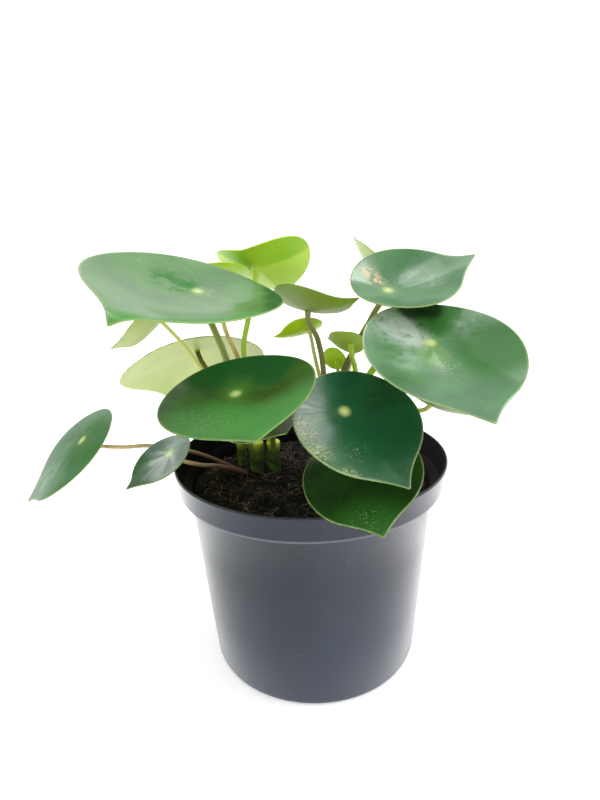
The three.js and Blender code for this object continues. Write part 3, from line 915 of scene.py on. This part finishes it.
def add_crumbs(name, finish, count, sizes, seed):
    rng = random.Random(seed)
    deselect()
    bpy.ops.mesh.primitive_ico_sphere_add(subdivisions=1, radius=1)
    blank = bpy.context.object
    named(blank, "crumb_blank", finish)
    crumbs = []
    for number in range(count):
        crumb = copied(blank, f"{name}_{number}")
        size = rng.uniform(*sizes)
        place = on_soil(rng)
        shape = Matrix.Diagonal((size, size * rng.uniform(*CRUMB_WIDTHS), size * CRUMB_FLATNESS, 1))
        angle = rng.uniform(0, math.tau)
        turn = Matrix.Rotation(angle, 4, Vector([rng.uniform(-1, 1) for _ in range(3)]))
        for vertex in crumb.data.vertices:
            vertex.co *= rng.uniform(*CRUMB_DENTS)
        crumb.data.transform(Matrix.Scale(MM, 4) @ Matrix.Translation(place) @ turn @ shape)
        crumbs.append(crumb)
    bpy.data.objects.remove(blank)
    placed(joined(crumbs, name), "potting_soil")


def fibre_blanks(rng, finish):
    """A few bent fibres along X, in metres, to copy over the soil."""
    blanks = []
    for _ in range(FIBRE_SHAPES):
        length = rng.uniform(*FIBRE_LENGTHS)
        knots = []
        for step in range(len(FIBRE_TAPER)):
            along = length * step / (len(FIBRE_TAPER) - 1)
            knots.append((along, rng.uniform(-FIBRE_BEND, FIBRE_BEND) * length, 0))
        radius = rng.uniform(*FIBRE_RADII)
        blank = stalk(knots, [radius * taper for taper in FIBRE_TAPER], roundness=0, steps=2)
        blank.data.materials.append(finish)
        blanks.append(blank)
    return blanks


def add_fibres(name, finish, count, seed):
    rng = random.Random(seed)
    blanks = fibre_blanks(rng, finish)
    fibres = []
    for number in range(count):
        blank = rng.choice(blanks)
        start = on_soil(rng)
        length = blank.dimensions.x / MM
        turn = rng.uniform(0, math.tau)
        step = Vector((math.cos(turn), math.sin(turn), 0)) * length
        if (start + step).xy.length > FIBRE_REACH:
            turn += math.pi
            step = -step
        end = start + step
        if end.xy.length > FIBRE_REACH:
            continue
        rise = rough_height(end.x, end.y) + rng.uniform(*FIBRE_LIFTS) - start.z
        fibre = copied(blank, f"{name}_{number}")
        place = Matrix.Translation((start + Vector((0, 0, FIBRE_FLOAT))) * MM)
        place @= Matrix.Rotation(turn, 4, "Z")
        place @= Matrix.Rotation(-math.atan2(rise, length), 4, "Y")
        place @= Matrix.Rotation(rng.uniform(0, math.tau), 4, "X")
        fibre.data.transform(place)
        fibres.append(fibre)
    for blank in blanks:
        bpy.data.objects.remove(blank)
    placed(joined(fibres, name), "potting_soil")


# ---- Stalks ----

MERGE_DISTANCE = 0.001 * MM
ROOT_DEPTH = 20  # of a stem's foot
NODE_SPACING = 7  # between the rings on a stem
NODE_SWELL = 0.99  # a stem's width on a ring and between two, as shares
NODE_WAIST = 0.9
CROWN_STEPS = ((0.99, 0.8), (1, 0.35))  # its rounded top: how far up, and the width's share
LAST_NODE = 0.97
PETIOLE_APPROACH = 4  # the length of its last stretch
PETIOLE_GAP = 0.2  # between its end and the blade's middle surface
FOOT_FLARE = (1.2, 1.1)  # the radii of its first and last knots, as shares
END_FLARE = (0.95, 1.15)
STEM_SHARP_EDGE = math.radians(60)


def store(piece, name, values):
    """Keeps a number for each vertex, which the piece's finish reads."""
    piece.data.attributes.new(name, "FLOAT", "POINT").data.foreach_set("value", values)


def centre_line(points, steps):
    """Places along a curve, so many for each stretch between its points."""
    line = []
    for first, second in zip(points, points[1:]):
        ends = (first.co, first.handle_right, second.handle_left, second.co)
        line += interpolate_bezier(*ends, steps + 1)[:-1]
    return [*line, points[-1].co.copy()]


def store_along(piece, line):
    nearest = kdtree.KDTree(len(line))
    for index, place in enumerate(line):
        nearest.insert(place, index)
    nearest.balance()
    found = [nearest.find(vertex.co)[1] for vertex in piece.data.vertices]
    store(piece, ALONG, [index / (len(line) - 1) for index in found])


def stalk(knots, radii, roundness=4, steps=10):
    """A tapered round stalk through knots, in millimetres."""
    deselect()
    bpy.ops.curve.primitive_bezier_curve_add()
    curve = bpy.context.object.data
    spline = curve.splines[0]
    points = spline.bezier_points
    points.add(len(knots) - len(points))
    for point, knot, radius in zip(points, knots, radii):
        point.co = Vector(knot) * MM
        point.handle_left_type = point.handle_right_type = "AUTO"
        point.radius = radius
    spline.radius_interpolation = "CARDINAL"
    spline.resolution_u = steps
    curve.bevel_depth = MM
    curve.bevel_resolution = roundness
    curve.use_fill_caps = True
    bpy.context.view_layer.update()
    line = centre_line(points, steps)
    bpy.ops.object.convert(target="MESH")
    bpy.ops.object.mode_set(mode="EDIT")
    bpy.ops.mesh.select_all(action="SELECT")
    bpy.ops.mesh.remove_doubles(threshold=MERGE_DISTANCE)
    bpy.ops.mesh.normals_make_consistent(inside=False)
    bpy.ops.object.mode_set(mode="OBJECT")
    store_along(bpy.context.object, line)
    return bpy.context.object


def stem_trunk(stem):
    """The thick stem, ringed where old leaves stood, with a rounded top."""
    foot = Vector((*stem["foot"], SOIL_TOP - ROOT_DEPTH))
    top = Vector(stem["top"])
    steps = max(4, round((top - foot).length / NODE_SPACING) * 2)
    places = []
    for step in range(steps):
        places.append((LAST_NODE * step / (steps - 1), NODE_SWELL if step % 2 else NODE_WAIST))
    places += CROWN_STEPS
    knots = [foot.lerp(top, share) for share, _ in places]
    return stalk(knots, [stem["radius"] * width for _, width in places], roundness=6, steps=4)


def petiole_end(start, leaf):
    """The last two knots of a petiole, which leans towards the blade's normal."""
    spot = Vector(leaf["spot"])
    normal = blade_turn(leaf).to_3x3() @ Vector((0, 0, 1))
    direction = (normal + (spot - start).normalized()).normalized()
    return [spot - direction * PETIOLE_APPROACH, spot - normal * PETIOLE_GAP]


def add_petiole(leaf_name, petiole):
    knots = [Vector(knot) for knot in petiole["via"]]
    knots += petiole_end(knots[-1], LEAVES[leaf_name])
    plain = len(knots) - len(FOOT_FLARE) - len(END_FLARE)
    radii = [petiole["radius"] * flare for flare in (*FOOT_FLARE, *[1] * plain, *END_FLARE)]
    piece = stalk(knots, radii)
    finish = stalk_finish(leaf_name.replace("leaf", "petiole"), petiole["ends"])
    piece.data.materials.append(finish)
    return piece


def add_stem(name, stem):
    pieces = [add_petiole(*petiole) for petiole in stem["petioles"].items()]
    trunk = stem_trunk(stem)
    # painted light on most trunks: a lit lime top
    top = "cocoa" if name == "stem_runner" else "painted_lit_lime"
    trunk.data.materials.append(trunk_finish(name.replace("stem", "trunk"), top))
    piece = joined([*pieces, trunk], name.replace("stem", "stalks"))
    pick(piece)
    bpy.ops.object.shade_smooth_by_angle(angle=STEM_SHARP_EDGE)
    placed(piece, "stem", name)


# ---- Leaf blades ----

BLADE_RINGS = (0.03, 0.08, 0.15, 0.24, 0.34, 0.45, 0.56, 0.66, 0.75, 0.83, 0.895, 0.945, 0.98, 1)
BLADE_SPOKES = 72
BLADE_THICKNESS = 1.05
MARGIN_SHARE = 0.5  # the margin's thickness as a share of the middle's
MARGIN_POWER = 6  # the higher, the nearer to the margin the blade thins
SPOT_PLACE = 0.3  # of the leaf's length, from its round end
DROP_REACH = 1.16  # to where the drop's straight sides would meet, in radii of its round end
TIP_REACH = 0.16  # of the drip tip beyond that
TIP_SPREAD = 0.16  # radians
SPOKE_CROWDING = 1.35  # above 1, more spokes run to the tip
BENDS = {"curl": 0.7, "hook": 0.88}  # where they start, as shares of the way to the tip
TAPER_START = 0.35  # behind the spot, as a share of the way to the tip
TAPER_RUN = 0.9
SHOULDER = math.acos(1 / DROP_REACH)
TIP_RADIUS = DROP_REACH + TIP_REACH
QUILTING = 0.05  # how far the blade swells between its nerves
DIMPLE_DEPTH = 0.12  # over the petiole
DIMPLE_RADIUS = 1.6
SLOT_OF_TONE = {"young": "young_leaf", "crown": "young_leaf", "pale": "pale_leaf"}


def blade_turn(leaf):
    turn = Matrix.Rotation(math.radians(leaf["heading"]), 4, "Z")
    turn @= Matrix.Rotation(math.radians(leaf["dip"]), 4, "Y")
    return turn @ Matrix.Rotation(math.radians(leaf["roll"]), 4, "X")


def outline_radius(angle):
    turn = abs(angle)
    return 1 / math.cos(max(0, SHOULDER - turn)) + TIP_REACH * math.exp(-turn / TIP_SPREAD)


def blade_point(leaf, share, angle):
    """A point of the blade's middle surface, with share 0 at the spot and 1 at the margin."""
    radius = outline_radius(angle)
    unit = leaf["length"] / (TIP_RADIUS + 1)
    spot_x = SPOT_PLACE * (TIP_RADIUS + 1) - 1
    along = share * (radius * math.cos(angle) - spot_x) * unit
    across = share * radius * math.sin(angle) * leaf["width"] / 2
    tipward = along / ((TIP_RADIUS - spot_x) * unit)
    if across > 0:
        step = min(1, max(0, (tipward + TAPER_START) / TAPER_RUN))
        across *= 1 - leaf.get("taper", 0) * step * step * (3 - 2 * step)
    far = 2 * along / leaf["length"]
    wide = 2 * across / leaf["width"]
    rise = leaf["end"] * far ** 2 + leaf["side"] * wide ** 2 + leaf.get("fold", 0) * abs(wide)
    rise += leaf["wave"] * share ** 3 * math.sin(3 * angle + leaf["length"])
    for bend, start in BENDS.items():
        rise -= leaf.get(bend, 0) * (max(0, tipward - start) / (1 - start)) ** 2
    rise -= QUILTING * math.sin(math.pi * share) * math.cos(NERVES * angle)
    rise -= DIMPLE_DEPTH * math.exp(-(math.hypot(along, across) / DIMPLE_RADIUS) ** 2)
    return Vector((along, across, rise))


def add_blade(name, leaf, blank):
    blade = copied(blank, name.replace("leaf", "blade"))
    to_plant = Matrix.Translation(leaf["spot"]) @ blade_turn(leaf)
    shares, flat = [], []
    for vertex in blade.data.vertices:
        share = min(1, vertex.co.xy.length)
        turn = math.atan2(vertex.co.y, vertex.co.x) / math.pi
        angle = math.copysign(math.pi * abs(turn) ** SPOKE_CROWDING, turn)
        point = blade_point(leaf, share, angle)
        vertex.co = to_plant @ point * MM
        shares.append(share)
        flat.append((point.x / CENTIMETRE, point.y / CENTIMETRE))
    store(blade, SHARE, shares)
    chart = blade.data.uv_layers.new(name=BLADE_MAP)
    for loop in blade.data.loops:
        chart.data[loop.index].uv = flat[loop.vertex_index]
    thick = blade.vertex_groups.new(name="thick")
    for index, share in enumerate(shares):
        thick.add([index], 1 - share ** MARGIN_POWER, "REPLACE")
    tone = TONE_OF_LEAF.get(name, "mature")
    named(blade, blade.name, leaf_top(name, tone), *lower_finishes(tone))
    modify(blade, "SOLIDIFY", thickness=BLADE_THICKNESS * MM, offset=0, vertex_group="thick",
           thickness_vertex_group=MARGIN_SHARE, material_offset=1, material_offset_rim=2)
    modify(blade, "SUBSURF", levels=1, render_levels=1)
    pick(blade)
    bpy.ops.object.shade_smooth()
    placed(blade, SLOT_OF_TONE.get(tone, "leaf"), name)


def lower_finishes(tone):
    """The underside's and the margin's finishes, made once for each tone."""
    made = [bpy.data.materials.get(f"{tone}_{side}") for side in ("underside", "margin")]
    if made[0]:
        return made
    return [leaf_underside(f"{tone}_underside", tone), leaf_margin(f"{tone}_margin", tone)]


# ---- Stage, in metres ----

FLOOR_SIZE = 6
WORLD_STRENGTH = 1.05
LIGHT_AIM = (0, 0, 0.13)
LIGHTS = {
    "long_window": dict(place=(0.72, 0.1, 1.21), size=(1.2, 0.32), power=9),
    "top_window": dict(place=(-0.06, 0.4, 1.37), size=(0.5, 0.5), power=2.4),
    "side_window": dict(place=(-0.83, 0.83, 0.7), size=(0.4, 0.4), power=2),
}


def add_floor():
    deselect()
    bpy.ops.mesh.primitive_plane_add(size=FLOOR_SIZE)
    floor = bpy.context.object
    named(floor, "floor", floor_finish())


def add_light(name, place, size, power):
    data = bpy.data.lights.new(name, "AREA")
    data.shape = "RECTANGLE"
    data.size, data.size_y = size
    data.energy = power
    light = bpy.data.objects.new(name, data)
    aim = (Vector(LIGHT_AIM) - Vector(place)).to_track_quat("-Z", "Y").to_matrix().to_4x4()
    light.matrix_world = Matrix.Translation(place) @ aim
    bpy.context.scene.collection.objects.link(light)


def add_stage():
    add_floor()
    world = bpy.data.worlds.new("studio")
    world.use_nodes = True
    background = world.node_tree.nodes["Background"]
    background.inputs["Color"].default_value = (1, 1, 1, 1)
    background.inputs["Strength"].default_value = WORLD_STRENGTH
    bpy.context.scene.world = world
    for name, light in LIGHTS.items():
        add_light(name, **light)
    bpy.context.scene.view_settings.view_transform = "Standard"


# ---- The plant ----

add_camera()
add_stage()
add_pot()
add_soil()
add_crumbs(
    "soil_crumbs", soil_finish("crumb_peat", "0a0706", "342a22"),
    count=340, sizes=(0.5, 1.9), seed=3)
add_crumbs(
    "pale_grains", soil_finish("grain", "6a5a48", "cfc4b0"),
    count=26, sizes=(0.25, 0.6), seed=8)
add_fibres("soil_fibres", soil_finish("fibre", "2a221c", "8e7e6a"), count=900, seed=5)
for stem_name, stem in STEMS.items():
    add_stem(stem_name, stem)
blade_blank = grown_disc([(ring, 0) for ring in BLADE_RINGS], BLADE_SPOKES)
for leaf_name, leaf in LEAVES.items():
    add_blade(leaf_name, leaf, blade_blank)
bpy.data.objects.remove(blade_blank)
